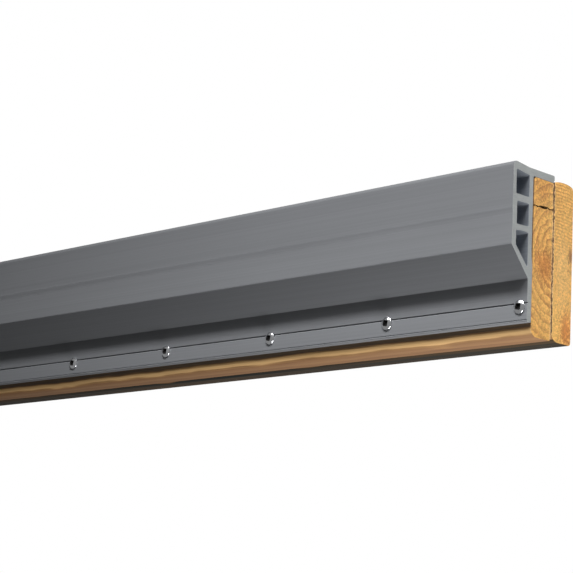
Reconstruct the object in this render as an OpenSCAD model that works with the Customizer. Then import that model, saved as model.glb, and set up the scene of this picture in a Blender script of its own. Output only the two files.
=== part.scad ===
// Hollow vinyl dock bumper that hooks over a pair of planks and is screwed to the front one.
// +X runs along the rail, the bumper's face looks towards -Y, and the planks stand on Z = 0.

/* [Rail] */
// Distance between neighbouring flange screws
screw_pitch = 152.4; // [100:0.1:200]
// Number of flange screws along the rail
screw_count = 7; // [3:1:9]
// Distance from each end of the rail to the first flange screw
end_margin = 8; // [7:0.1:40]

/* [Planks] */
// Height of the front plank
board_h = 139.7; // [135:0.1:142]
// Thickness of each plank
board_t = 27.4; // [25:0.1:30]
// Rounding of the planks' outer lower edges
board_round = 7.5; // [3:0.1:9]
// Easing of the planks' other long edges
board_ease = 2.8; // [1:0.1:4]
// Height by which the rear plank's crowned top stands over the front plank
rear_rise = 3.2; // [1:0.1:4]
// Open joint between the two planks
board_gap = 0.4; // [0.2:0.1:1]

/* [Bumper section] */
// Distance from the front plank to the bumper's face
stand_off = 28.7; // [26:0.1:32]
// Height of the face's top corner above the planks' base
face_top = 148.8; // [148:0.1:150]
// Height of the knee where the face ends and the slope begins
knee_z = 74.6; // [72:0.1:78]
// Height of the foot of the slope, where it meets the flange
foot_z = 49; // [47:0.1:51]
// Thickness of the screw flange
flange_t = 5.8; // [5:0.1:6.4]
// Height of the flange's lower edge
flange_z = 11.8; // [9:0.1:14]
// Height of the screw guide groove in the flange
groove_z = 28; // [27:0.1:30]
// Thickness of the hooked lip over the front plank
lip_t = 6.6; // [5.5:0.1:7]
// Reach of the hooked lip behind the front plank's face
lip_reach = 28.1; // [20:0.1:29]
// Clearance between the back wall and the front plank
back_relief = 1.4; // [0.8:0.1:1.8]
// Thickness of the back wall
back_wall = 5.3; // [4.5:0.1:5.6]

/* [Flange screws] */
// Height of the flange screws
flange_screw_z = 25.2; // [22:0.1:26]
// Diameter of the domed head
head_d = 12; // [10:0.1:13]
// Height of the domed head
head_h = 2.8; // [2.5:0.1:4]
// Diameter of the shank
shank_d = 5.5; // [4:0.1:6]
// Length of the shank under the head
shank_l = 31; // [20:0.1:32]

/* [Plank screws] */
// Height of the lower row
lower_row_z = 46; // [35:1:60]
// Distance between neighbouring screws in the lower row
lower_row_pitch = 172; // [160:1:190]
// Height of the upper row
upper_row_z = 104; // [90:1:115]
// Distance between neighbouring screws in the upper row
upper_row_pitch = 229; // [200:1:240]
// Diameter of the countersunk head
flat_head_d = 9.6; // [8:0.1:10.5]
// Diameter of the plank screws' shank
stitch_d = 4.8; // [4:0.1:5]
// Length of the plank screws from face to point
stitch_l = 50.8; // [38:0.1:53]

/* [Hidden] */
stitches_per_row = 4;
stitch_count = 2 * stitches_per_row;
rail_l = screw_pitch * (screw_count - 1) + 2 * end_margin;
rear_y = board_t + board_gap;
back_y = rear_y + board_t;
mid_y = (back_y - stand_off) / 2;      // half depth of the whole section, kept on Y = 0
point_l = 7;                           // length of a screw's tapered point
point_d = 1;                           // width of its blunt tip
recess_w = 1.5;                        // width of a driver recess's wings
recess_span = 6.4;                     // span of the recess across the wings
recess_depth = 2.1;
flat_head_sink = 0.3;                  // depth of a flat head below the plank's face
arc_steps = 8;
$fn = 64;

// ---- places ----

function flange_screw_x(i) = (i - (screw_count - 1) / 2) * screw_pitch;

// Plank screws are numbered from the left end, the lower row first
function stitch_low(i) = i < stitches_per_row;
function stitch_z(i) = stitch_low(i) ? lower_row_z : upper_row_z;
function stitch_pitch(i) = stitch_low(i) ? lower_row_pitch : upper_row_pitch;
function stitch_x(i) = (i % stitches_per_row - (stitches_per_row - 1) / 2) * stitch_pitch(i);

// ---- outlines ----

function unit(v) = v / norm(v);

// Replaces the corner b between a and c with an arc of radius r
function corner_arc(a, b, c, r) =
    let (
        u = unit(a - b),
        v = unit(c - b),
        half = acos(u * v) / 2,
        centre = b + unit(u + v) * r / sin(half),
        first = b + u * r / tan(half) - centre,
        last = b + v * r / tan(half) - centre,
        start = atan2(first.y, first.x),
        turn = atan2(last.y, last.x) - start,
        sweep = turn > 180 ? turn - 360 : turn < -180 ? turn + 360 : turn
    )
    r == 0 ? [b] : [for (i = [0:arc_steps]) centre + r * [cos(start + sweep * i / arc_steps),
                                                        sin(start + sweep * i / arc_steps)]];

function flat(p) = [p.x, p.y];

// Rounds a closed path whose entries are [across, up, corner radius]
function rounded(path) =
    let (n = len(path))
    [for (i = [0:n - 1])
        each corner_arc(flat(path[(i + n - 1) % n]), flat(path[i]), flat(path[(i + 1) % n]), path[i].z)];

bumper_outline = [
    [0, flange_z, 0.4],
    [-flange_t, flange_z, 0.9],
    [-flange_t, groove_z - 1, 0],
    [-flange_t + 1.2, groove_z, 0],
    [-flange_t, groove_z + 1, 0],
    [-flange_t, foot_z, 1],
    [-stand_off, knee_z, 2.2],
    [-stand_off, face_top, 4.5],
    [-7, board_h + lip_t, 12],
    [lip_reach, board_h + lip_t + 0.3, 1.6],
    [lip_reach, board_h + 4, 1.4],
    [lip_reach - 3.4, board_h, 1.6],
    [-back_relief, board_h, 0.8],
    [-back_relief, foot_z + 22, 3],
    [0, foot_z + 12, 3]
];

cell_back = -back_relief - back_wall;

upper_cell = [
    [-24.2, 119.9, 1.2],
    [-24.2, 141.4, 1.2],
    [cell_back, 139.2, 1.2],
    [cell_back, 119.9, 1.2]
];

middle_cell = [
    [-22.5, 93.6, 1.2],
    [-22.5, 113.6, 1.2],
    [cell_back, 113.9, 1.2],
    [cell_back, 94.1, 1.2]
];

lower_cell = [
    [-22.9, knee_z + 0.8, 2],
    [-22.9, 88.4, 1.2],
    [cell_back, 88.8, 1.2],
    [cell_back, foot_z + 9.3, 0.9]
];

front_board_outline = [
    [0, 0, board_round],
    [0, board_h, board_ease],
    [board_t, board_h, board_ease],
    [board_t, 0, board_ease]
];

rear_board_outline = [
    [rear_y, 0, board_round + 1.5],
    [rear_y, board_h + 1.2, board_ease],
    [rear_y + board_t / 2, board_h + rear_rise + 0.9, 40],
    [back_y, board_h + 1.2, board_ease + 2],
    [back_y, 0, board_ease]
];

// ---- shared shapes ----

// Lays a section drawn as [across, up] along X, centred on the rail's length
module along_rail(length) {
    translate([-length / 2, -mid_y, 0]) rotate([90, 0, 90]) linear_extrude(length) children();
}

// Stands a shape made along Z so that its +Z points out of the rail's front, at height z
module facing_front(x, y, z) {
    translate([x, y - mid_y, z]) rotate([90, 0, 0]) children();
}

module facing_back(x, y, z) {
    translate([x, y - mid_y, z]) rotate([-90, 0, 0]) children();
}

module driver_recess(top) {
    intersection() {
        union() {
            translate([-recess_span / 2, -recess_w / 2, top - recess_depth])
                cube([recess_span, recess_w, recess_depth + 1]);
            translate([-recess_w / 2, -recess_span / 2, top - recess_depth])
                cube([recess_w, recess_span, recess_depth + 1]);
        }
        translate([0, 0, top - recess_depth]) cylinder(d1 = 2, d2 = 8, h = recess_depth + 1);
    }
}

module tapered_shank(d, length) {
    translate([0, 0, -length + point_l]) cylinder(d = d, h = length - point_l);
    translate([0, 0, -length]) cylinder(d1 = point_d, d2 = d, h = point_l);
}

// ---- sub-parts ----

module bumper_profile() {
    color("#7d7e82")
    difference() {
        along_rail(rail_l) difference() {
            polygon(rounded(bumper_outline));
            polygon(rounded(upper_cell));
            polygon(rounded(middle_cell));
            polygon(rounded(lower_cell));
        }
        for (i = [0:screw_count - 1])
            facing_front(flange_screw_x(i), 1, flange_screw_z) cylinder(d = shank_d, h = flange_t + 2);
    }
}

module front_board() {
    color("#d9a05c")
    difference() {
        along_rail(rail_l) polygon(rounded(front_board_outline));
        for (i = [0:screw_count - 1])
            facing_front(flange_screw_x(i), -flange_t, flange_screw_z) tapered_shank(shank_d, shank_l);
        for (i = [0:stitch_count - 1])
            facing_back(stitch_x(i), back_y - flat_head_sink, stitch_z(i)) tapered_shank(stitch_d, stitch_l);
    }
}

module rear_board() {
    color("#e0ab68")
    difference() {
        along_rail(rail_l) polygon(rounded(rear_board_outline));
        for (i = [0:stitch_count - 1])
            facing_back(stitch_x(i), back_y - flat_head_sink, stitch_z(i)) {
                translate([0, 0, -board_t - 1]) cylinder(d = stitch_d, h = board_t + 1);
                flat_head();
                cylinder(d = flat_head_d, h = 2);
            }
    }
}

module flange_screw(i) {
    color("#c9ccd0")
    facing_front(flange_screw_x(i), -flange_t, flange_screw_z) {
        difference() {
            rotate_extrude() polygon(rounded([
                [0, 0, 0],
                [head_d / 2, 0, 0],
                [head_d / 2, head_h, head_h * 0.85],
                [0, head_h + 0.4, 0]
            ]));
            driver_recess(head_h);
        }
        tapered_shank(shank_d, shank_l);
    }
}

module flat_head() {
    head_cone = (flat_head_d - stitch_d) / 2;
    translate([0, 0, -head_cone]) cylinder(d1 = stitch_d, d2 = flat_head_d, h = head_cone);
}

module board_screw(i) {
    color("#b9a25c")
    facing_back(stitch_x(i), back_y - flat_head_sink, stitch_z(i)) difference() {
        union() {
            flat_head();
            tapered_shank(stitch_d, stitch_l);
        }
        driver_recess(0);
    }
}

bumper_profile();
front_board();
rear_board();
for (i = [1:screw_count])
    flange_screw(i - 1);
for (i = [1:stitch_count])
    board_screw(i - 1);
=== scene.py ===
"""Builds a hollow vinyl dock bumper, the two planks it hooks over and its screws, then lights them."""

import math
from contextlib import contextmanager

import bmesh
import bpy
from bpy.props import FloatProperty, FloatVectorProperty, PointerProperty
from bpy.types import Operator, Panel, PropertyGroup
from mathutils import Matrix, Vector


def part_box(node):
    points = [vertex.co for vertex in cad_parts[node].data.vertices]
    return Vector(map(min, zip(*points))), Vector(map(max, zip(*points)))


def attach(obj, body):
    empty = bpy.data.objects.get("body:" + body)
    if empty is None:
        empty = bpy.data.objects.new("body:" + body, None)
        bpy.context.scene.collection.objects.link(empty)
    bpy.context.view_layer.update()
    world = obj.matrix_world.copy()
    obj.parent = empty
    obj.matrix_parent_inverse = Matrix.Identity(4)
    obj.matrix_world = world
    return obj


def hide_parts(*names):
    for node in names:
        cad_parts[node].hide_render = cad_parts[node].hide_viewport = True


bl_info = {
    "name": "Dock Bumper Rail",
    "version": (1, 0, 0),
    "blender": (4, 5, 0),
    "location": "View3D > Sidebar > Dock Bumper",
    "description": "Models a screwed-on vinyl dock bumper and the planks behind it",
    "category": "Object",
}

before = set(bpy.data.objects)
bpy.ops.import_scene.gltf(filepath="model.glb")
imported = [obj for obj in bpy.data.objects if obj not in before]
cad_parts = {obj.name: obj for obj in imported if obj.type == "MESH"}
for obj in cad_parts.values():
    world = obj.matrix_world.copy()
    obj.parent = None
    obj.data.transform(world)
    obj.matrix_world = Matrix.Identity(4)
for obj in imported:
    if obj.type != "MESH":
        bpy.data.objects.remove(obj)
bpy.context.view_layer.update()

MM = 0.001
BODY = "root"
FLANGE_SCREWS = sorted(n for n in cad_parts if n.startswith("flange_screw"))
PLANK_SCREWS = sorted(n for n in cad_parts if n.startswith("board_screw"))

RAIL_LOW, RAIL_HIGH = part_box("bumper_profile")
FRONT_LOW, FRONT_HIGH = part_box("front_board")
REAR_LOW, REAR_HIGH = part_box("rear_board")
FACE_Y = FRONT_LOW.y          # front face of the front plank, where section depths are counted from
HALF_LENGTH = RAIL_HIGH.x


# ---------------------------------------------------------------- settings


def length(name, description, millimetres):
    return FloatProperty(name=name, description=description, default=millimetres * MM,
                         unit="LENGTH", subtype="DISTANCE", precision=4)


def colour(name, description, value):
    return FloatVectorProperty(name=name, description=description, default=value,
                               size=3, min=0, max=1, subtype="COLOR")


class BumperSettings(PropertyGroup):
    knee_height: length("Knee height", "Height of the lower edge of the bumper's face", 74.6)
    foot_height: length("Foot height", "Height where the slope meets the flange", 49.0)
    face_corner: length("Face corner", "Height of the face's top corner before rounding", 148.8)
    lip_height: length("Lip height", "Height of the hooked lip's top", 146.3)
    flange_thickness: length("Flange thickness", "Thickness of the screw flange", 5.8)
    groove_height: length("Groove height", "Height of the screw guide groove", 28.0)
    groove_depth: length("Groove depth", "Depth of the screw guide groove", 1.2)
    back_relief: length("Back relief", "Clearance between the back wall and the plank", 1.4)
    back_wall: length("Back wall", "Thickness of the wall behind the cells", 5.3)
    vinyl: colour("Vinyl", "Colour of the outer skin", (0.223, 0.230, 0.243))
    sawn_vinyl: colour("Sawn vinyl", "Colour of the sawn ends", (0.300, 0.315, 0.312))
    cell_vinyl: colour("Cell vinyl", "Colour inside the cells", (0.235, 0.255, 0.285))


class PlankSettings(PropertyGroup):
    rounding: length("Rounding", "Radius of the outer lower edges", 7.5)
    easing: length("Easing", "Radius of the other long edges", 2.8)
    crown: length("Crown", "Rise of the rear plank's top from its edges to its middle", 2.9)
    crown_radius: length("Crown radius", "Radius of the crowned top", 40.0)
    front_ring: length("Front ring spacing", "Growth ring spacing of the front plank", 6.2)
    rear_ring: length("Rear ring spacing", "Growth ring spacing of the rear plank", 2.3)
    end_light: colour("End grain", "Colour of the early wood on the sawn ends", (0.83, 0.475, 0.128))
    end_warm: colour("Warm end grain", "Colour of the warmer patches on the sawn ends", (0.66, 0.315, 0.068))
    end_dark: colour("End grain rings", "Colour of the late wood on the sawn ends", (0.34, 0.115, 0.022))
    end_pale: colour("Fresh end grain", "Colour of bruised fibres beside the seam", (0.82, 0.60, 0.33))
    side_light: colour("Side grain", "Colour of the pale grain along the planks", (0.60, 0.340, 0.145))
    side_dark: colour("Side grain lines", "Colour of the dark grain along the planks", (0.23, 0.103, 0.044))


class ScrewSettings(PropertyGroup):
    thread_pitch: length("Thread pitch", "Distance between neighbouring thread turns", 2.2)
    thread_depth: length("Thread depth", "Radius of the triangle that the thread is wound from", 0.7)
    recess_span: length("Recess span", "Width of the driver recess across its wings", 9.0)
    recess_width: length("Recess width", "Width of one wing of the driver recess", 2.9)
    recess_depth: length("Recess depth", "Depth of the driver recess", 2.1)
    recess_turn: FloatProperty(name="Recess turn", description="Turn of the driver recess about the screw",
                               default=math.radians(35), subtype="ANGLE")
    steel: colour("Polished steel", "Colour of the flange screws", (0.78, 0.79, 0.81))
    zinc: colour("Yellow zinc", "Colour of the plank screws", (0.86, 0.68, 0.34))


class StageSettings(PropertyGroup):
    azimuth: FloatProperty(name="Camera turn", description="Turn of the view from straight on",
                           default=math.radians(46.06), subtype="ANGLE")
    rise: FloatProperty(name="Camera rise", description="Upward tilt of the view",
                        default=math.radians(11.555), subtype="ANGLE")
    roll: FloatProperty(name="Camera roll", description="Turn of the view about its own axis",
                        default=math.radians(3.029), subtype="ANGLE")
    distance: length("Camera distance", "Distance from the camera to the rail's sawn end", 1600.1)
    aside: length("Camera aside", "How far the rail's end lies right of the view's middle", 209.8)
    above: length("Camera above", "How far the rail's end lies above the view's middle", 26.4)
    lens: FloatProperty(name="Lens", description="Focal length in millimetres on a 36 mm sensor",
                        default=117.96, min=20, max=300)
    floor: colour("Floor", "Colour of the studio floor", (0.82, 0.82, 0.81))
    key_power: FloatProperty(name="Key light", description="Power of the long light above the rail in watts",
                             default=17.0, min=0)
    fill_power: FloatProperty(name="Fill light", description="Power of the low light in watts",
                              default=8.6, min=0)
    side_power: FloatProperty(name="Side light", default=2.6, min=0,
                              description="Power of the light in front of the sawn end in watts")
    end_power: FloatProperty(name="End light", description="Power of the light on the sawn end in watts",
                             default=10.8, min=0)
    rear_power: FloatProperty(name="Rear light", description="Power of the light behind the planks in watts",
                              default=30.0, min=0)
    sky: FloatProperty(name="Sky", description="Strength of the even light from all round",
                       default=0.030, min=0)
    sheen: FloatProperty(name="Reflected sky", description="Extra sky seen in polished metal",
                         default=0.23, min=0)


# ---------------------------------------------------------------- modelling tools


def activate(obj):
    bpy.ops.object.select_all(action="DESELECT")
    obj.select_set(True)
    bpy.context.view_layer.objects.active = obj


@contextmanager
def editing(obj):
    """Edit mode on one object, with nothing selected to start with."""
    activate(obj)
    bpy.ops.object.mode_set(mode="EDIT")
    bpy.ops.mesh.select_all(action="DESELECT")
    yield
    bpy.ops.object.mode_set(mode="OBJECT")


def pick(kind, test):
    """Selects the faces, edges or vertices for which the test holds, and nothing else."""
    bpy.ops.mesh.select_mode(type=kind)
    bpy.ops.mesh.select_all(action="DESELECT")
    shape = bmesh.from_edit_mesh(bpy.context.object.data)
    shape.normal_update()
    group = {"FACE": shape.faces, "EDGE": shape.edges, "VERT": shape.verts}[kind]
    found = 0
    for part in group:
        if test(part):
            part.select_set(True)
            found += 1
    bmesh.update_edit_mesh(bpy.context.object.data)
    if not found:
        raise RuntimeError("nothing to select on " + bpy.context.object.name)


def near(a, b, slack=0.02 * MM):
    return abs(a - b) < slack


def depth(y):
    """Row-frame Y of a depth counted back from the front plank's face."""
    return FACE_Y + y


def add_shape(primitive, **settings):
    """A new primitive with its place, turn and size held in its mesh."""
    bpy.ops.object.select_all(action="DESELECT")
    primitive(**settings)
    shape = bpy.context.object
    bpy.ops.object.transform_apply(location=True, rotation=True, scale=True)
    return shape


def add_block(name, low, high):
    """A box between two corners."""
    low, high = Vector(low), Vector(high)
    block = add_shape(bpy.ops.mesh.primitive_cube_add, size=1, location=(low + high) / 2, scale=high - low)
    block.name = name
    return block


def cut_faces(test, point, normal):
    """Splits the faces that pass the test along a plane."""
    pick("FACE", test)
    bpy.ops.mesh.bisect(plane_co=point, plane_no=normal)


def cut_at_height(test, z):
    cut_faces(test, (0, 0, z), (0, 0, 1))


def cut_at_depth(test, y):
    cut_faces(test, (0, y, 0), (0, 1, 0))


def move_line(y, z, by):
    """Moves the points that lie on the line along X at (y, z)."""
    pick("VERT", lambda v: near(v.co.y, y) and near(v.co.z, z))
    bpy.ops.transform.translate(value=by)


def on_line(edge, y, z):
    return all(near(v.co.y, y) and near(v.co.z, z) for v in edge.verts)


def round_line(y, z, radius, segments=6):
    """Rounds the edge that runs along X at (y, z) to a radius."""
    pick("EDGE", lambda e: on_line(e, y, z))
    shape = bmesh.from_edit_mesh(bpy.context.object.data)
    edge = next(e for e in shape.edges if e.select)
    turn = edge.link_faces[0].normal.angle(edge.link_faces[1].normal)
    bpy.ops.mesh.bevel(offset=radius * math.tan(turn / 2), segments=segments, affect="EDGES")


def apply_modifier(obj, kind, **settings):
    activate(obj)
    modifier = obj.modifiers.new(kind.title(), kind)
    for key, value in settings.items():
        setattr(modifier, key, value)
    bpy.ops.object.modifier_apply(modifier=modifier.name)


def cut_away(obj, *cutters):
    """Cuts the cutters' shapes out of the object, and removes the cutters."""
    for cutter in cutters:
        apply_modifier(obj, "BOOLEAN", operation="DIFFERENCE", solver="EXACT", object=cutter)
        bpy.data.objects.remove(cutter)


def join(name, parts):
    activate(parts[0])
    for part in parts[1:]:
        part.select_set(True)
    bpy.ops.object.join()
    parts[0].name = name
    return parts[0]


def copy_beside(obj, name, offset):
    """A copy with its own mesh, moved by the offset."""
    activate(obj)
    bpy.ops.object.duplicate(linked=False)
    twin = bpy.context.object
    twin.name = name
    bpy.ops.transform.translate(value=offset)
    bpy.ops.object.transform_apply(location=True, rotation=True, scale=True)
    return twin


def at_end(face):
    return abs(face.normal.x) > 0.9


def soften_ends(obj, width):
    """Breaks the sharp edges round the two sawn ends."""
    with editing(obj):
        pick("EDGE", lambda e: len(e.link_faces) == 2
             and at_end(e.link_faces[0]) != at_end(e.link_faces[1])
             and near(abs(e.verts[0].co.x), HALF_LENGTH) and near(abs(e.verts[1].co.x), HALF_LENGTH))
        bpy.ops.mesh.bevel(offset=width, segments=2, affect="EDGES")


def paint(obj, materials, choose):
    """Gives each face the material whose index choose() returns for its centre and normal."""
    for material in materials:
        obj.data.materials.append(material)
    for face in obj.data.polygons:
        face.material_index = choose(face.center, face.normal)


def finish_piece(obj, nodes, angle=35):
    activate(obj)
    bpy.ops.object.shade_smooth_by_angle(angle=math.radians(angle))
    apply_modifier(obj, "WEIGHTED_NORMAL", keep_sharp=True)
    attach(obj, BODY)
    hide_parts(*nodes)


# ---------------------------------------------------------------- material tools


class Recipe:
    """A material's node tree, with short calls that add nodes and join them up."""

    def __init__(self, name):
        self.material = bpy.data.materials.new(name)
        self.material.use_nodes = True
        self.tree = self.material.node_tree
        self.shader = self.tree.nodes["Principled BSDF"]
        self.place = self.add("ShaderNodeTexCoord").outputs["Object"]

    def add(self, kind, inputs=None, **settings):
        node = self.tree.nodes.new(kind)
        for key, value in settings.items():
            setattr(node, key, value)
        for key, value in (inputs or {}).items():
            self.feed(node.inputs[key], value)
        return node

    def feed(self, socket, value):
        if isinstance(value, bpy.types.NodeSocket):
            self.tree.links.new(value, socket)
        else:
            socket.default_value = value

    def set(self, **values):
        for key, value in values.items():
            self.feed(self.shader.inputs[key.replace("_", " ")], value)

    def stretched(self, scale, shift=(0, 0, 0)):
        """The piece's own coordinates, shifted and then scaled along each axis."""
        moved = self.add("ShaderNodeVectorMath", {0: self.place, 1: shift}, operation="ADD")
        return self.add("ShaderNodeVectorMath", {0: moved.outputs[0], 1: scale},
                        operation="MULTIPLY").outputs[0]

    def noise(self, vector, detail=2.0, roughness=0.5):
        node = self.add("ShaderNodeTexNoise", {"Vector": vector, "Scale": 1.0, "Detail": detail,
                                               "Roughness": roughness})
        return node.outputs["Fac"]

    def math(self, operation, a, b=0.0):
        return self.add("ShaderNodeMath", {0: a, 1: b}, operation=operation).outputs[0]

    def span(self, value, low, high, to_low=0.0, to_high=1.0):
        return self.add("ShaderNodeMapRange", {"Value": value, "From Min": low, "From Max": high,
                                               "To Min": to_low, "To Max": to_high}).outputs[0]

    def blend(self, factor, a, b, mode="MIX"):
        node = self.add("ShaderNodeMix", data_type="RGBA", blend_type=mode)
        for socket, value in ((node.inputs[0], factor), (node.inputs[6], a), (node.inputs[7], b)):
            if not isinstance(value, (float, int, bpy.types.NodeSocket)):
                value = (*value[:3], 1.0)
            self.feed(socket, value)
        return node.outputs[2]

    def brighten(self, tint, factor):
        """Multiplies a colour by a factor that varies over the surface."""
        grey = self.add("ShaderNodeCombineColor", {"Red": factor, "Green": factor, "Blue": factor})
        return self.blend(1.0, tint, grey.outputs[0], "MULTIPLY")

    def bump(self, height, distance, normal=None):
        inputs = {"Height": height, "Distance": distance, "Strength": 1.0}
        if normal is not None:
            inputs["Normal"] = normal
        return self.add("ShaderNodeBump", inputs).outputs[0]


# ---------------------------------------------------------------- vinyl


def vinyl_skin(tint):
    """Satin extruded vinyl: fine die lines along the rail over a soft unevenness.

    Painted light and shade: the face is painted paler downwards and darker at the very top,
    and the sheltered slope with the flange under it carries a painted shadow of the overhang.
    """
    r = Recipe("vinyl_skin")
    lines = r.noise(r.stretched((1.2, 700, 700)), detail=3, roughness=0.6)
    cloud = r.noise(r.stretched((3, 14, 14)), detail=4, roughness=0.55)
    grit = r.noise(r.stretched((900, 900, 900)), detail=1)
    height = r.add("ShaderNodeSeparateXYZ", {0: r.place}).outputs["Z"]
    shade = r.math("ADD", r.span(lines, 0.3, 0.7, 0.955, 1.045), r.span(cloud, 0.3, 0.7, -0.035, 0.035))
    dark = 0.72
    # painted light: the face is made paler low down and darker high up, as the lamps fall on it
    painted_light_down_face = r.span(height, 60 * MM, 140 * MM, 1.10, 0.85)
    # painted shade over the top rounding, damping its highlight
    painted_shade_over_top = r.span(height, 144.5 * MM, 147.5 * MM, 1.0, dark)
    # painted shadow of the overhang on the slope and on the flange just under it, ending at the knee
    painted_shadow_under_slope = r.span(height, 33 * MM, 45 * MM, 1.0, dark)
    painted_shadow_to_knee = r.span(height, 73.7 * MM, 75.7 * MM, dark, 1.0)
    for factor in (painted_light_down_face, painted_shade_over_top, r.math("MAXIMUM", painted_shadow_under_slope, painted_shadow_to_knee)):
        shade = r.math("MULTIPLY", shade, factor)
    r.set(Base_Color=r.brighten(tint, shade),
          Roughness=r.span(cloud, 0.3, 0.7, 0.44, 0.54),
          Normal=r.bump(grit, 0.02 * MM, normal=r.bump(lines, 0.05 * MM)))
    r.shader.inputs["Specular IOR Level"].default_value = 0.15
    return r.material


def vinyl_sawn(tint):
    """Vinyl cut across by a fine saw: pale, dull and finely scored."""
    r = Recipe("vinyl_sawn_end")
    scores = r.noise(r.stretched((60, 160, 1500), (0, 0, 0.02)), detail=2)
    cloud = r.noise(r.stretched((80, 80, 80)), detail=3)
    grit = r.noise(r.stretched((1400, 1400, 1400)), detail=1)
    shade = r.math("ADD", r.span(scores, 0.3, 0.7, 0.93, 1.07), r.span(cloud, 0.3, 0.7, -0.05, 0.05))
    r.set(Base_Color=r.brighten(tint, shade), Roughness=0.68,
          Normal=r.bump(grit, 0.04 * MM, normal=r.bump(scores, 0.08 * MM)))
    return r.material


def vinyl_cell(tint):
    """The inside of the cells, with painted light that makes the walls paler further in from the open ends.
    """
    r = Recipe("vinyl_cell")
    lines = r.noise(r.stretched((1.5, 500, 500)), detail=3)
    along = r.math("ABSOLUTE", r.add("ShaderNodeSeparateXYZ", {0: r.place}).outputs["X"])
    # painted light: the walls are made up to 3.3 times paler deep inside, where little light reaches
    painted_light_deep_inside = r.span(along, HALF_LENGTH - 40 * MM, HALF_LENGTH - 5 * MM, 3.3, 1.0)
    shade = r.math("MULTIPLY", painted_light_deep_inside, r.span(lines, 0.3, 0.7, 0.90, 1.10))
    r.set(Base_Color=r.brighten(tint, shade), Roughness=0.6,
          Normal=r.bump(lines, 0.06 * MM))
    r.shader.inputs["Specular IOR Level"].default_value = 0.2
    return r.material


def make_cell_cutter(name, corners, radius, arch=0.0):
    """A long bar with the section of one cell. Corners run front low, front high, back high, back low."""
    (y0, z0), (y1, z1), (y2, z2), (y3, z3) = [(depth(y * MM), z * MM) for y, z in corners]
    over = HALF_LENGTH + 5 * MM
    bar = add_block(name, (-over, y0, z0), (over, y3, z1))
    with editing(bar):
        move_line(y0, z1, (0, y1 - y0, 0))
        move_line(y3, z1, (0, y2 - y3, z2 - z1))
        move_line(y3, z0, (0, 0, z3 - z0))
        if arch:
            middle = (y1 + y2) / 2
            cut_at_depth(lambda f: f.normal.z > 0.7, middle)
            move_line(middle, (z1 + z2) / 2, (0, 0, arch))
            round_line(middle, (z1 + z2) / 2 + arch, 30 * MM)
        for y, z in ((y0, z0), (y1, z1), (y2, z2), (y3, z3)):
            round_line(y, z, radius)
    return bar


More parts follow.
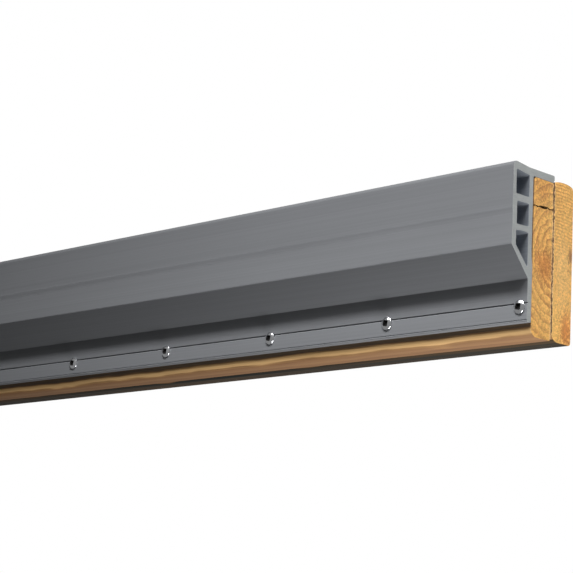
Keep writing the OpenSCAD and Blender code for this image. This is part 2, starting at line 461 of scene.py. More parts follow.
def make_bumper(s):
    front, top = RAIL_LOW.y, s.face_corner
    flange_front = depth(-s.flange_thickness)
    flange_low, plank_top = RAIL_LOW.z, FRONT_HIGH.z
    slope_start = depth(-7 * MM)
    rail = add_block("bumper", (-HALF_LENGTH, front, flange_low), (HALF_LENGTH, FACE_Y, top))

    def faces_front(face):
        return face.normal.y < -0.9

    def faces_back(face):
        return face.normal.y > 0.9

    def on_flange(face):
        return faces_front(face) and near(face.calc_center_median().y, flange_front)

    with editing(rail):
        # flange and slope
        for z in (s.foot_height, s.knee_height):
            cut_at_height(faces_front, z)
        for z in (flange_low, s.foot_height):
            move_line(front, z, (0, flange_front - front, 0))
        # top that falls away behind the face
        cut_at_depth(lambda f: f.normal.z > 0.9, slope_start)
        for y in (slope_start, FACE_Y):
            move_line(y, top, (0, 0, s.lip_height - top))
        # hooked lip
        cut_at_height(faces_back, plank_top)
        pick("FACE", lambda f: faces_back(f) and f.calc_center_median().z > plank_top)
        bpy.ops.mesh.extrude_region_move(TRANSFORM_OT_translate={"value": (0, RAIL_HIGH.y - FACE_Y, 0)})
        # back wall that stands clear of the plank
        relief_foot, relief_top = s.foot_height + 12 * MM, s.foot_height + 22 * MM
        for z in (relief_foot, relief_top):
            cut_at_height(lambda f: faces_back(f) and near(f.calc_center_median().y, FACE_Y), z)
        for z in (relief_top, plank_top):
            move_line(FACE_Y, z, (0, -s.back_relief, 0))
        # screw guide groove
        for z in (-1, 0, 1):
            cut_at_height(on_flange, s.groove_height + z * MM)
        move_line(flange_front, s.groove_height, (0, s.groove_depth, 0))
        # fine line along the flange's lower edge
        for z in (1.2, 1.7, 2.2):
            cut_at_height(on_flange, flange_low + z * MM)
        move_line(flange_front, flange_low + 1.7 * MM, (0, 0.55 * MM, 0))
        # faint die ripples, then a shallow step where the middle cell lies behind the face
        ripples = [(s.knee_height + above * MM, inset * MM) for above, inset in (
            (41.9, 0.12), (38.4, 0.0), (35.7, 0.14), (32.9, 0.0),
            (31.3, 0.0), (29.6, 0.30), (28.0, 0.42), (26.4, 0.46),
        )]
        for z, inset in ripples:
            cut_at_height(lambda f: faces_front(f) and f.calc_center_median().z > s.knee_height, z)
        for z, inset in ripples:
            move_line(front, z, (0, inset, 0))
        # rounded long edges
        inner = FACE_Y - s.back_relief
        for y, z, radius in (
            (front, top, 4.5), (slope_start, s.lip_height, 12), (RAIL_HIGH.y, s.lip_height, 1.6),
            (RAIL_HIGH.y, plank_top, 3.6), (inner, plank_top, 0.8), (inner, relief_top, 3),
            (FACE_Y, relief_foot, 3), (FACE_Y, flange_low, 0.4), (flange_front, flange_low, 0.9),
            (flange_front, s.foot_height, 1), (front, s.knee_height, 2.2),
        ):
            round_line(y, z, radius * MM)

    back = -(s.back_relief + s.back_wall) / MM
    knee, foot = s.knee_height / MM, s.foot_height / MM
    cells = (
        make_cell_cutter("upper_cell", ((-24.2, 119.9), (-24.2, 141.4), (back, 139.2), (back, 119.9)),
                         1.2 * MM),
        make_cell_cutter("middle_cell", ((-22.5, 93.6), (-22.5, 113.6), (back, 113.9), (back, 94.1)),
                         1.2 * MM),
        make_cell_cutter("lower_cell", ((-22.9, knee + 0.8), (-22.9, 88.0), (back, 88.4), (back, foot + 9.3)),
                         1.0 * MM, arch=0.7 * MM),
    )
    cut_away(rail, *cells)
    cut_away(rail, make_hole_cutter("flange_holes", FACE_Y + MM))
    soften_ends(rail, 0.3 * MM)

    cell_front, cell_back = depth(-25 * MM), depth(back * MM)
    cell_heights = ((foot * MM, 90.5 * MM), (92.5 * MM, 115.5 * MM), (118 * MM, 142.5 * MM))
    highest = 142 * MM
    skin, sawn, cell = range(3)

    def looks_into_cell(centre, normal):
        """True where a wall's normal points at the middle of the hollow beside it."""
        middle_y = (cell_front + cell_back) / 2
        for low, high in cell_heights:
            if low < centre.z < high:
                aim = Vector((0, middle_y - centre.y, (low + high) / 2 - centre.z))
                return normal.dot(aim) > 0
        return False

    def choose(centre, normal):
        if abs(normal.x) > 0.6:
            return sawn
        inside = cell_front < centre.y < cell_back + 0.2 * MM and foot * MM < centre.z < highest
        return cell if inside and looks_into_cell(centre, normal) else skin

    paint(rail, (vinyl_skin(s.vinyl), vinyl_sawn(s.sawn_vinyl), vinyl_cell(s.cell_vinyl)), choose)
    finish_piece(rail, ["bumper_profile"])


def screw_centre(node):
    """X and Z of a screw, and the depths of its two ends."""
    low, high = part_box(node)
    return (low.x + high.x) / 2, (low.z + high.z) / 2, low.y, high.y


def head_radius(node):
    low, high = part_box(node)
    return (high.z - low.z) / 2


def make_hole_cutter(name, end):
    """Round bars along Y, one from each flange screw's head back to the end."""
    bars = []
    for node in FLANGE_SCREWS:
        x, z, start, _ = screw_centre(node)
        bars.append(add_shape(bpy.ops.mesh.primitive_cylinder_add, vertices=32, radius=2.75 * MM,
                              depth=end - start, location=(x, (start + end) / 2, z),
                              rotation=(math.pi / 2, 0, 0)))
    return join(name, bars)


# ---------------------------------------------------------------- planks


def spot(r, y, z, wide, tall, rough):
    """A soft-edged oval on the plank's section, 1 in its middle and 0 outside, with a ragged rim."""
    away = r.add("ShaderNodeVectorMath", {0: r.stretched((0, 1 / wide, 1 / tall), (0, -y, -z))},
                 operation="LENGTH").outputs["Value"]
    ragged = r.math("ADD", away, r.span(rough, 0.3, 0.7, -0.45, 0.45))
    return r.span(ragged, 1.0, 0.35, 0.0, 1.0)


def growth_rings(r, pith, spacing, seed):
    """Pale early wood that darkens to a line at the end of each year's ring round the pith."""
    slow = r.add("ShaderNodeTexNoise", {"Vector": r.stretched((3, 24, 24), (seed, 0, 0)), "Detail": 1.0})
    wander = r.add("ShaderNodeVectorMath", {0: slow.outputs["Color"], 1: (0.5, 0.5, 0.5)},
                   operation="SUBTRACT")
    wander = r.add("ShaderNodeVectorMath", {0: wander.outputs[0], "Scale": 0.9 * spacing},
                   operation="SCALE")
    around = r.add("ShaderNodeVectorMath", {0: r.stretched((0, 1, 1), (0, -pith[0], -pith[1])),
                                            1: wander.outputs[0]}, operation="ADD").outputs[0]
    around = r.add("ShaderNodeVectorMath", {0: around, 1: (0, 1, 0.8)}, operation="MULTIPLY").outputs[0]
    radius = r.add("ShaderNodeVectorMath", {0: around}, operation="LENGTH").outputs["Value"]
    uneven = r.noise(r.stretched((2, 40, 40), (0, 0, seed)), detail=1)
    rings = r.math("ADD", r.math("DIVIDE", radius, spacing), r.span(uneven, 0, 1, 0, 0.6))
    late = r.math("POWER", r.math("FRACT", rings), 1.5)
    return r.math("MULTIPLY", late, r.span(late, 0.86, 1.0, 1.0, 0.0))


def end_grain(name, s, pith, spacing, seed, marks, seam, fade):
    """A crosscut end: rings, saw roughness, stains, a bruised pale edge along the seam and a painted shadow
    in the seam.

    The rings' strength goes from one value to another between two heights in millimetres, given by fade
    as (low, high, at low, at high).
    """
    r = Recipe(name)
    fade_low, fade_high, at_low, at_high = fade
    rings = growth_rings(r, pith, spacing, seed)
    patch = r.noise(r.stretched((5, 55, 55), (0, seed, 0)), detail=3, roughness=0.6)
    cloud = r.noise(r.stretched((5, 24, 24), (0, 0, seed)), detail=2)
    pores = r.noise(r.stretched((450, 450, 450)), detail=4, roughness=0.75)
    scores = r.noise(r.stretched((40, 1200, 60)), detail=2)
    place = r.add("ShaderNodeSeparateXYZ", {0: r.place})
    strength = r.math("MULTIPLY", r.span(patch, 0.35, 0.60, 0.30, 1.0),
                      r.span(place.outputs["Z"], fade_low * MM, fade_high * MM, at_low, at_high))
    tint = r.blend(r.span(cloud, 0.35, 0.65, 0.0, 0.55), s.end_light, s.end_warm)
    tint = r.blend(r.math("MULTIPLY", rings, strength), tint, s.end_dark)
    for y, z, wide, tall, colour_of_mark, weight in marks:
        oval = spot(r, depth(y * MM), z * MM, wide * MM, tall * MM, pores)
        tint = r.blend(r.math("MULTIPLY", oval, weight), tint, colour_of_mark)
    beside_seam = r.math("ABSOLUTE", r.math("SUBTRACT", place.outputs["Y"], seam))
    tint = r.blend(r.span(beside_seam, 2.2 * MM, 1.0 * MM, 0.0, 0.55), tint, s.end_pale)
    # painted shadow in the seam between the planks: a near-black line of wavering width along it
    seam_shadow_wobble = r.noise(r.stretched((1, 1, 330), (0, 0, seed)), detail=2)
    reach = r.span(seam_shadow_wobble, 0.42, 0.62, 0.45 * MM, 1.45 * MM)
    tint = r.blend(r.math("LESS_THAN", beside_seam, reach), tint, (0.05, 0.025, 0.012))
    lively = r.math("ADD", r.span(pores, 0.32, 0.68, 0.60, 1.34), r.span(patch, 0.3, 0.7, -0.12, 0.12))
    r.set(Base_Color=r.brighten(tint, lively), Roughness=r.span(rings, 0, 1, 0.75, 0.6),
          Normal=r.bump(pores, 0.15 * MM, normal=r.bump(scores, 0.08 * MM, normal=r.bump(rings, 0.12 * MM))))
    return r.material


def side_grain(name, s, pith, spacing, seed, bands):
    """Planed long grain: the same rings cut lengthwise, with fibres, streaks and coloured bands along it:
    painted light and shade on the front plank, a near-black bottom edge on the rear one.
    """
    r = Recipe(name)
    rings = growth_rings(r, pith, spacing, seed)
    fibre = r.noise(r.stretched((7, 900, 900)), detail=3, roughness=0.65)
    streak = r.noise(r.stretched((2.2, 190, 190), (seed, 0, 0)), detail=4, roughness=0.6)
    flow = r.add("ShaderNodeTexWave", {"Vector": r.stretched((0.9, 60, 60), (seed, 0, 0)), "Scale": 1.0,
                                       "Distortion": 7.0, "Detail": 2.0, "Detail Scale": 1.3},
                 wave_type="BANDS", bands_direction="Z").outputs["Fac"]
    grain = r.math("MAXIMUM", rings, r.math("MULTIPLY", flow, 0.55))
    grain = r.math("MULTIPLY", grain, r.span(streak, 0.35, 0.65, 0.45, 1.0))
    tint = r.blend(grain, s.side_light, s.side_dark)
    height = r.add("ShaderNodeSeparateXYZ", {0: r.place}).outputs["Z"]
    swell = r.noise(r.stretched((13, 0, 0), (seed, 0, 0)), detail=2)
    wavy = r.math("ADD", height, r.math("ADD", r.span(streak, 0.3, 0.7, -0.7 * MM, 0.7 * MM),
                                        r.span(swell, 0.3, 0.7, -1.3 * MM, 1.3 * MM)))
    for low, high, soft, colour_of_band, weight in bands:
        inside = r.math("MULTIPLY", r.span(wavy, (low - soft) * MM, low * MM),
                        r.span(wavy, (high + soft) * MM, high * MM))
        inside = r.math("MULTIPLY", inside, r.span(streak, 0.3, 0.6, 0.8, 1.0))
        tint = r.blend(r.math("MULTIPLY", inside, weight), tint, colour_of_band)
    lively = r.math("ADD", r.span(fibre, 0.3, 0.7, 0.84, 1.12), r.span(streak, 0.3, 0.7, -0.08, 0.08))
    r.set(Base_Color=r.brighten(tint, lively), Roughness=r.span(grain, 0, 1, 0.72, 0.60),
          Normal=r.bump(fibre, 0.2 * MM, normal=r.bump(grain, 0.15 * MM)))
    r.shader.inputs["Specular IOR Level"].default_value = 0.3
    return r.material


def deep_crack():
    """The shaded walls of a drying crack."""
    r = Recipe("plank_crack")
    fibre = r.noise(r.stretched((40, 900, 900)), detail=2)
    r.set(Base_Color=r.blend(fibre, (0.035, 0.014, 0.006), (0.085, 0.036, 0.014)), Roughness=0.9)
    return r.material


def crack_cutter(height):
    """A thin crooked wedge that opens the end of the front plank as a drying check."""
    reach, half_gap, steps = 34 * MM, 0.42 * MM, 9
    low = Vector((FRONT_HIGH.x - reach, FRONT_LOW.y - MM, height - half_gap))
    high = Vector((FRONT_HIGH.x + MM, FRONT_HIGH.y + MM, height + half_gap))
    wedge = add_block("crack", low, high)
    with editing(wedge):
        stations = [low.y + (high.y - low.y) * i / steps for i in range(steps + 1)]
        for y in stations[1:-1]:
            bpy.ops.mesh.select_all(action="SELECT")
            bpy.ops.mesh.bisect(plane_co=(0, y, 0), plane_no=(0, 1, 0))
        for i, y in enumerate(stations):
            pick("VERT", lambda v: near(v.co.y, y))
            bpy.ops.transform.translate(value=(0, 0, (0.5 * math.sin(2.4 * i) + 0.14 * i) * MM))
        pick("VERT", lambda v: near(v.co.x, low.x))
        bpy.ops.transform.resize(value=(1, 1, 0.05))
    return wedge


def seam_depth():
    """Row-frame Y of the seam between the planks."""
    return (FRONT_HIGH.y + REAR_LOW.y) / 2


def make_countersinks():
    """Cones with clearance holes, one where each plank screw enters from behind."""
    cones = []
    for node in PLANK_SCREWS:
        x, z, _, back = screw_centre(node)
        head, hole_length = head_radius(node), 40 * MM
        cone = add_shape(bpy.ops.mesh.primitive_cone_add, vertices=48, radius1=0.5 * head,
                         radius2=head + 1.1 * MM, depth=3.6 * MM, location=(x, back - 0.8 * MM, z),
                         rotation=(-math.pi / 2, 0, 0))
        hole = add_shape(bpy.ops.mesh.primitive_cylinder_add, vertices=32, radius=2.4 * MM,
                         depth=hole_length, location=(x, back - hole_length / 2, z),
                         rotation=(math.pi / 2, 0, 0))
        apply_modifier(cone, "BOOLEAN", operation="UNION", solver="EXACT", object=hole)
        bpy.data.objects.remove(hole)
        cones.append(cone)
    return join("countersinks", cones)


def make_front_plank(s):
    crack = FRONT_HIGH.z - 25.5 * MM
    plank = add_block("front_plank", FRONT_LOW, FRONT_HIGH)
    with editing(plank):
        for y, z, radius in (
            (FRONT_LOW.y, FRONT_LOW.z, s.rounding), (FRONT_HIGH.y, FRONT_LOW.z, s.easing),
            (FRONT_HIGH.y, FRONT_HIGH.z, s.easing), (FRONT_LOW.y, FRONT_HIGH.z, s.easing),
        ):
            round_line(y, z, radius, 8)
    cut_away(plank, crack_cutter(crack))
    cut_away(plank, make_hole_cutter("pilot_holes", depth(25 * MM)))
    soften_ends(plank, 0.5 * MM)
    side, end, crack_wall = range(3)

    def choose(centre, normal):
        if abs(normal.x) > 0.9:
            return end
        by_crack = centre.x > HALF_LENGTH - 36 * MM and abs(centre.z - crack) < 4 * MM
        return crack_wall if by_crack and abs(normal.y) < 0.9 else side

    pith = (depth(31 * MM), 72 * MM)
    # depth, height, half width and half height in millimetres, then colour and weight
    stains = ((17, 64, 14, 19, (0.48, 0.155, 0.024), 0.65), (13, 128, 9, 12, (0.50, 0.21, 0.05), 0.5),
              (6, 74, 4, 16, (0.50, 0.20, 0.045), 0.4))
    # painted light and shade: a painted shadow under the flange, a painted highlight along the lower rounding
    # and painted shade on the underside
    # lower and upper height and soft edge in millimetres, then colour and weight
    painted_light_bands = ((8.4, 14, 1.2, (0.12, 0.095, 0.065), 0.85), (3.4, 6.2, 1.0, (1.0, 0.63, 0.28), 1.0),
            (-2, 0.9, 1.2, (0.25, 0.13, 0.075), 0.6))
    paint(plank, (side_grain("front_plank_side", s, pith, s.front_ring, 0.3, painted_light_bands),
                  end_grain("front_plank_end", s, pith, s.front_ring, 0.3, stains, seam_depth(),
                            (0, 30, 0.7, 1.0)),
                  deep_crack()), choose)
    finish_piece(plank, ["front_board"])


def make_rear_plank(s):
    edge_top = REAR_HIGH.z - 2 * MM
    middle = (REAR_LOW.y + REAR_HIGH.y) / 2
    plank = add_block("rear_plank", REAR_LOW, (REAR_HIGH.x, REAR_HIGH.y, edge_top))
    with editing(plank):
        cut_at_depth(lambda f: f.normal.z > 0.9, middle)
        move_line(middle, edge_top, (0, 0, s.crown))
        round_line(middle, edge_top + s.crown, s.crown_radius, 12)
        for y, z, radius in (
            (REAR_LOW.y, REAR_LOW.z, s.rounding + 1.5 * MM), (REAR_HIGH.y, REAR_LOW.z, s.easing),
            (REAR_HIGH.y, edge_top, s.easing + 2 * MM), (REAR_LOW.y, edge_top, s.easing),
        ):
            round_line(y, z, radius, 8)
    cut_away(plank, make_countersinks())
    soften_ends(plank, 0.5 * MM)
    pith = (depth(38 * MM), -40 * MM)
    stains = ((52.5, 79, 4.5, 9, (0.20, 0.050, 0.012), 0.85), (49.5, 66, 2.0, 2.6, (0.30, 0.09, 0.02), 0.9),
              (48, 13, 11, 22, (0.58, 0.20, 0.040), 0.85), (42, 62, 17, 48, (0.79, 0.49, 0.180), 0.5))
    # a near-black band along the bottom edge; lower and upper height and soft edge in millimetres, then
    # colour and weight
    dark_bottom_band = ((-4, 1.8, 1.4, (0.009, 0.012, 0.010), 1.0),)
    paint(plank, (side_grain("rear_plank_side", s, pith, s.rear_ring, 0.7, dark_bottom_band),
                  end_grain("rear_plank_end", s, pith, s.rear_ring, 0.7, stains, seam_depth(),
                            (55, 95, 0.15, 0.8))),
          lambda centre, normal: 1 if abs(normal.x) > 0.9 else 0)
    finish_piece(plank, ["rear_board"])


# ---------------------------------------------------------------- screws


def bright_steel(name, tint, roughness):
    """Polished metal with faint turning marks and handling stains."""
    r = Recipe(name)
    marks = r.noise(r.stretched((700, 700, 700)), detail=3, roughness=0.7)
    cloud = r.noise(r.stretched((260, 260, 260)), detail=3)
    r.set(Base_Color=r.brighten(tint, r.span(cloud, 0.3, 0.7, 0.88, 1.06)),
          Roughness=r.span(marks, 0.3, 0.7, roughness * 0.85, roughness * 1.2),
          Normal=r.bump(marks, 0.004 * MM))
    r.shader.inputs["Metallic"].default_value = 1.0
    return r.material


def painted_recess_shade(name):
    """Painted shade: the walls of a driver recess coloured near-black, as the hollow lies in shade."""
    r = Recipe(name)
    grime = r.noise(r.stretched((900, 900, 900)), detail=2)
    r.set(Base_Color=r.blend(grime, (0.004, 0.004, 0.005), (0.022, 0.021, 0.020)),
          Roughness=r.span(grime, 0.3, 0.7, 0.70, 0.9))
    r.shader.inputs["Specular IOR Level"].default_value = 0.1
    return r.material


def is_recess(head, top, deep):
    """A test for the faces of a recess sunk in a head that stands along Z."""
    def test(centre, normal):
        inside = math.hypot(centre.x, centre.y) < 0.8 * head and top - deep - 0.05 * MM < centre.z < top
        return 1 if inside and (abs(normal.z) < 0.85 or centre.z < top - 0.8 * deep) else 0
    return test


def recess_cutters(s, top):
    """The two tapered wings of a cross recess and its wide mouth, standing round Z, open at the top."""
    wings = []
    for turn in (0, 1):
        size = Vector((s.recess_span, s.recess_width, 0)) / 2
        if turn:
            size = Vector((size.y, size.x, 0))
        wing = add_block("wing", (-size.x, -size.y, top - s.recess_depth), (size.x, size.y, top + MM))
        with editing(wing):
            pick("VERT", lambda v: v.co.z < top - 0.5 * s.recess_depth)
            bpy.ops.transform.resize(value=(0.5, 0.5, 1))
        wing.rotation_euler.z = s.recess_turn
        bpy.ops.object.transform_apply(location=True, rotation=True, scale=True)
        wings.append(wing)
    mouth = add_shape(bpy.ops.mesh.primitive_cone_add, vertices=24, radius1=0.16 * s.recess_span,
                      radius2=0.46 * s.recess_span, depth=s.recess_depth + MM,
                      location=(0, 0, top + (MM - s.recess_depth) / 2))
    return wings + [mouth]


def make_thread(s, core, start, turns):
    """A ridge wound round Z, from the start height downwards.

    The wound triangle lies along the winding, so the ridge is a nearly flat band. It is hidden in the wood.
    """
    ridge = add_shape(bpy.ops.mesh.primitive_circle_add, vertices=3, radius=s.thread_depth,
                      fill_type="NOTHING", rotation=(math.pi / 2, 0, -math.pi / 2),
                      location=(core + 0.3 * s.thread_depth, 0, start - turns * s.thread_pitch))
    apply_modifier(ridge, "SCREW", axis="Z", screw_offset=s.thread_pitch, iterations=turns,
                   steps=20, render_steps=20, use_merge_vertices=False)
    with editing(ridge):
        bpy.ops.mesh.select_mode(type="EDGE")
        bpy.ops.mesh.select_non_manifold()
        bpy.ops.mesh.fill_holes(sides=3)
        bpy.ops.mesh.select_all(action="SELECT")
        bpy.ops.mesh.normals_make_consistent(inside=False)
    return ridge


def make_shank(core, total):
    """A core with a tapered point, hanging down from the origin."""
    tip = 7 * MM
    shank = add_shape(bpy.ops.mesh.primitive_cylinder_add, vertices=32, radius=core, depth=total,
                      location=(0, 0, -total / 2))
    with editing(shank):
        bpy.ops.mesh.select_all(action="SELECT")
        bpy.ops.mesh.bisect(plane_co=(0, 0, -total + tip), plane_no=(0, 0, 1))
        pick("VERT", lambda v: near(v.co.z, -total))
        bpy.ops.transform.resize(value=(0.12, 0.12, 1))
    return shank


def stand_at(obj, x, y, z, forwards):
    """Turns a screw made along Z to point its head forwards or backwards, and sets it in place."""
    activate(obj)
    obj.rotation_euler = (math.pi / 2 if forwards else -math.pi / 2, 0, 0)
    obj.location = (x, y, z)
    bpy.ops.object.transform_apply(location=True, rotation=True, scale=True)


def make_flange_screws(s):
    x, z, front, back = screw_centre(FLANGE_SCREWS[0])
    head, core = head_radius(FLANGE_SCREWS[0]), 2.05 * MM
    seat = depth(-bpy.context.scene.bumper_settings.flange_thickness)
    tall, shank = seat - front, back - seat
    rim = 0.9 * MM
    dome = (head ** 2 + (tall - rim) ** 2) / (2 * (tall - rim))
    screw = add_shape(bpy.ops.mesh.primitive_uv_sphere_add, segments=64, ring_count=96, radius=dome,
                      location=(0, 0, tall - dome))
    with editing(screw):
        bpy.ops.mesh.select_all(action="SELECT")
        bpy.ops.mesh.bisect(plane_co=(0, 0, rim), plane_no=(0, 0, 1), clear_inner=True,
                            threshold=0.001 * MM)
        pick("EDGE", lambda e: e.is_boundary)
        bpy.ops.mesh.extrude_region_move(TRANSFORM_OT_translate={"value": (0, 0, -rim)})
        bpy.ops.mesh.edge_face_add()
        bpy.ops.mesh.select_all(action="SELECT")
        bpy.ops.mesh.normals_make_consistent(inside=False)
        for level, width in ((rim, 0.55 * MM), (0, 0.25 * MM)):
            pick("EDGE", lambda e: all(near(v.co.z, level) for v in e.verts))
            bpy.ops.mesh.bevel(offset=width, segments=4, affect="EDGES")
    cut_away(screw, *recess_cutters(s, tall))
    body = join("flange_screw", [screw, make_shank(core, shank), make_thread(s, core, -4 * MM, 8)])
    paint(body, (bright_steel("flange_screw_steel", s.steel, 0.20), painted_recess_shade("flange_screw_recess")),
          is_recess(head, tall, s.recess_depth))
    stand_at(body, x, seat, z, True)
    place_copies(body, FLANGE_SCREWS, "pan_screw")


def place_copies(model, nodes, name):
    """Sets a copy of the modelled screw at each node after the first, and finishes them all."""
    x0, z0, _, _ = screw_centre(nodes[0])
    copies = [model]
    for i, node in enumerate(nodes[1:], 2):
        x, z, _, _ = screw_centre(node)
        copies.append(copy_beside(model, f"{name}_{i}", (x - x0, 0, z - z0)))
    model.name = f"{name}_1"
    for copy, node in zip(copies, nodes):
        finish_piece(copy, [node], 40)


def make_plank_screws(s):
    x, z, front, back = screw_centre(PLANK_SCREWS[0])
    head, core = head_radius(PLANK_SCREWS[0]), 1.7 * MM
    thick, over_face = 2.4 * MM, 0.1 * MM
    screw = add_shape(bpy.ops.mesh.primitive_cylinder_add, vertices=48, radius=head, depth=thick,
                      location=(0, 0, -thick / 2))
    with editing(screw):
        pick("VERT", lambda v: near(v.co.z, -thick))
        bpy.ops.transform.resize(value=(0.5, 0.5, 1))
    cut_away(screw, *recess_cutters(s, over_face))
    body = join("plank_screw", [screw, make_shank(core, back - front),
                                make_thread(s, core, -26 * MM, 8)])
    paint(body, (bright_steel("plank_screw_zinc", s.zinc, 0.45), painted_recess_shade("plank_screw_recess")),
          is_recess(0.9 * head, over_face, s.recess_depth + 0.3 * MM))
    stand_at(body, x, back, z, False)
    place_copies(body, PLANK_SCREWS, "stitch_screw")


# ---------------------------------------------------------------- stage


def view_axes(s):
    """Right, up and forward of the camera, from its turn, rise and roll."""
    forward = Vector((-math.sin(s.azimuth) * math.cos(s.rise), math.cos(s.azimuth) * math.cos(s.rise),
                      math.sin(s.rise)))
    right = forward.cross(Vector((0, 0, 1))).normalized()
    up = right.cross(forward)
    rolled_right = math.cos(s.roll) * right + math.sin(s.roll) * up
    rolled_up = math.cos(s.roll) * up - math.sin(s.roll) * right
    return rolled_right, rolled_up, forward


def add_camera(s):
    right, up, forward = view_axes(s)
    target = Vector((HALF_LENGTH, FACE_Y, 70 * MM))
    place = target - s.aside * right - s.above * up - s.distance * forward
    turn = Matrix((right, up, -forward)).transposed().to_euler()
    bpy.ops.object.camera_add(location=place, rotation=turn)
    camera = bpy.context.object
    camera.name = "studio_camera"
    camera.data.lens = s.lens
    camera.data.sensor_width = 36
    camera.data.clip_start = 0.01
    bpy.context.scene.camera = camera


def add_soft_light(name, place, target, size, power):
    """A rectangular light aimed at half the rail's height over the target's X and Y."""
    aim = (Vector((*target, 70 * MM)) - Vector(place)).to_track_quat("-Z", "Y").to_euler()
    bpy.ops.object.light_add(type="AREA", location=place, rotation=aim)
    light = bpy.context.object
    light.name = name
    light.data.shape = "RECTANGLE"
    light.data.size, light.data.size_y = size
    light.data.energy = power
    light.visible_camera = False


def add_floor(s):
    """A wide pale floor under the planks that shows only from above."""
    bpy.ops.object.select_all(action="DESELECT")
    bpy.ops.mesh.primitive_plane_add(size=12, location=(0, 0, -0.5 * MM))
    floor = bpy.context.object
    floor.name = "floor"
    r = Recipe("studio_floor")
    cloud = r.noise(r.stretched((1.5, 1.5, 1.5)), detail=3)
    tint = r.brighten(s.floor, r.span(cloud, 0.3, 0.7, 0.985, 1.015))
    r.set(Base_Color=r.brighten(tint, 0.3), Emission_Color=tint, Roughness=0.9)
    r.shader.inputs["Emission Strength"].default_value = 0.85
    r.shader.inputs["Specular IOR Level"].default_value = 0.0
    clear = r.add("ShaderNodeBsdfTransparent")
    side = r.add("ShaderNodeNewGeometry").outputs["Backfacing"]
    mixed = r.add("ShaderNodeMixShader", {0: side, 1: r.shader.outputs[0], 2: clear.outputs[0]})
    r.tree.links.new(mixed.outputs[0], r.tree.nodes["Material Output"].inputs["Surface"])
    floor.data.materials.append(r.material)
    floor.visible_diffuse = floor.visible_glossy = False
    floor.visible_transmission = floor.visible_shadow = False


def set_sky(s):
    """White to the camera, a dim even light to everything else, and some more of it in reflections."""
    world = bpy.data.worlds.new("studio_sky")
    world.use_nodes = True
    tree = world.node_tree
    background = tree.nodes["Background"]
    ray = tree.nodes.new("ShaderNodeLightPath")
    glossy = tree.nodes.new("ShaderNodeMath")
    glossy.operation = "MULTIPLY_ADD"
    tree.links.new(ray.outputs["Is Glossy Ray"], glossy.inputs[0])
    glossy.inputs[1].default_value = s.sheen
    glossy.inputs[2].default_value = s.sky
    seen = tree.nodes.new("ShaderNodeMath")
    seen.operation = "MAXIMUM"
    tree.links.new(ray.outputs["Is Camera Ray"], seen.inputs[0])
    tree.links.new(glossy.outputs[0], seen.inputs[1])
    background.inputs["Color"].default_value = (1, 1, 1, 1)
    tree.links.new(seen.outputs[0], background.inputs["Strength"])
    bpy.context.scene.world = world


# ---------------------------------------------------------------- operators and panel


class DOCKBUMPER_OT_bumper(Operator):
    """Model the hollow vinyl bumper"""
    bl_idname = "dock_bumper.make_bumper"
    bl_label = "Bumper"

    def execute(self, context):
        make_bumper(context.scene.bumper_settings)
        return {"FINISHED"}


class DOCKBUMPER_OT_planks(Operator):
    """Model the two planks"""
    bl_idname = "dock_bumper.make_planks"
    bl_label = "Planks"

    def execute(self, context):
        make_front_plank(context.scene.plank_settings)
        make_rear_plank(context.scene.plank_settings)
        return {"FINISHED"}


class DOCKBUMPER_OT_flange_screws(Operator):
    """Model the pan-head screws through the flange"""
    bl_idname = "dock_bumper.make_flange_screws"
    bl_label = "Flange screws"

    def execute(self, context):
        make_flange_screws(context.scene.screw_settings)
        return {"FINISHED"}


class DOCKBUMPER_OT_plank_screws(Operator):
    """Model the countersunk screws that hold the planks together"""
    bl_idname = "dock_bumper.make_plank_screws"
    bl_label = "Plank screws"

    def execute(self, context):
        make_plank_screws(context.scene.screw_settings)
        return {"FINISHED"}


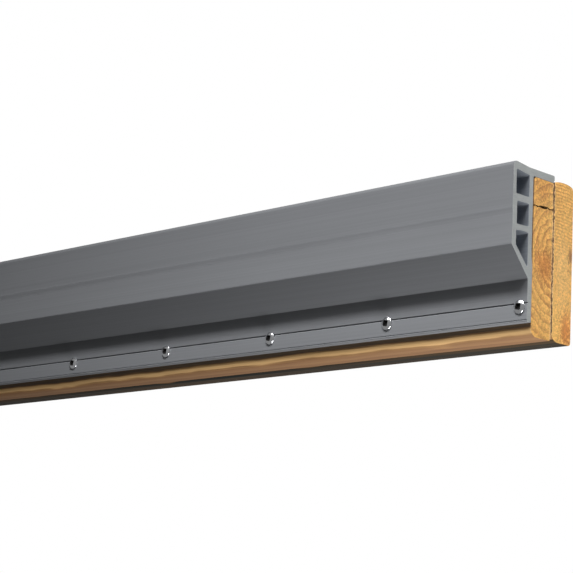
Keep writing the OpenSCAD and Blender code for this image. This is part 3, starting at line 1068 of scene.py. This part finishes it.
class DOCKBUMPER_OT_stage(Operator):
    """Set up the floor, the lights and the camera"""
    bl_idname = "dock_bumper.set_stage"
    bl_label = "Stage"

    def execute(self, context):
        s = context.scene.stage_settings
        add_floor(s)
        set_sky(s)
        over, beside = HALF_LENGTH - 0.02, HALF_LENGTH + 0.25
        # name, place, aimed at, width and height, power
        for light in (
            ("key_light", (over, FACE_Y - 0.512, 0.929), (over, FACE_Y), (0.9, 0.14), s.key_power),
            ("low_fill", (beside, FACE_Y - 0.10, -0.8), (beside, FACE_Y), (0.8, 0.24), s.fill_power),
            ("side_light", (HALF_LENGTH + 0.5, FACE_Y - 0.72, 0.93), (over, FACE_Y), (0.5, 0.12),
             s.side_power),
            ("end_light", (HALF_LENGTH + 1.2, FACE_Y + 0.6, 0.5), (HALF_LENGTH, FACE_Y), (0.4, 0.4),
             s.end_power),
            ("far_end_light", (-HALF_LENGTH - 1.2, FACE_Y + 0.6, 0.5), (-HALF_LENGTH, FACE_Y), (0.4, 0.4),
             s.end_power),
            ("rear_light", (-0.2, FACE_Y + 1.5, 0.75), (0, REAR_HIGH.y), (1.4, 0.7), s.rear_power),
        ):
            add_soft_light(*light)
        add_camera(s)
        context.scene.view_settings.view_transform = "Standard"
        return {"FINISHED"}


class DOCKBUMPER_PT_panel(Panel):
    """Lists the bumper's pieces in the order they are made"""
    bl_label = "Dock Bumper"
    bl_idname = "DOCKBUMPER_PT_panel"
    bl_space_type = "VIEW_3D"
    bl_region_type = "UI"
    bl_category = "Dock Bumper"

    def draw(self, context):
        for operator in OPERATORS:
            self.layout.operator(operator.bl_idname)


GROUPS = {
    "bumper_settings": BumperSettings,
    "plank_settings": PlankSettings,
    "screw_settings": ScrewSettings,
    "stage_settings": StageSettings,
}
OPERATORS = (DOCKBUMPER_OT_bumper, DOCKBUMPER_OT_planks, DOCKBUMPER_OT_flange_screws,
             DOCKBUMPER_OT_plank_screws, DOCKBUMPER_OT_stage)


def register():
    for cls in (*GROUPS.values(), *OPERATORS, DOCKBUMPER_PT_panel):
        bpy.utils.register_class(cls)
    for name, group in GROUPS.items():
        setattr(bpy.types.Scene, name, PointerProperty(type=group))


def unregister():
    for name in GROUPS:
        delattr(bpy.types.Scene, name)
    for cls in (DOCKBUMPER_PT_panel, *reversed(OPERATORS), *GROUPS.values()):
        bpy.utils.unregister_class(cls)


def main():
    register()
    bpy.ops.dock_bumper.make_bumper()
    bpy.ops.dock_bumper.make_planks()
    bpy.ops.dock_bumper.make_flange_screws()
    bpy.ops.dock_bumper.make_plank_screws()
    bpy.ops.dock_bumper.set_stage()


if __name__ == "__main__":
    main()
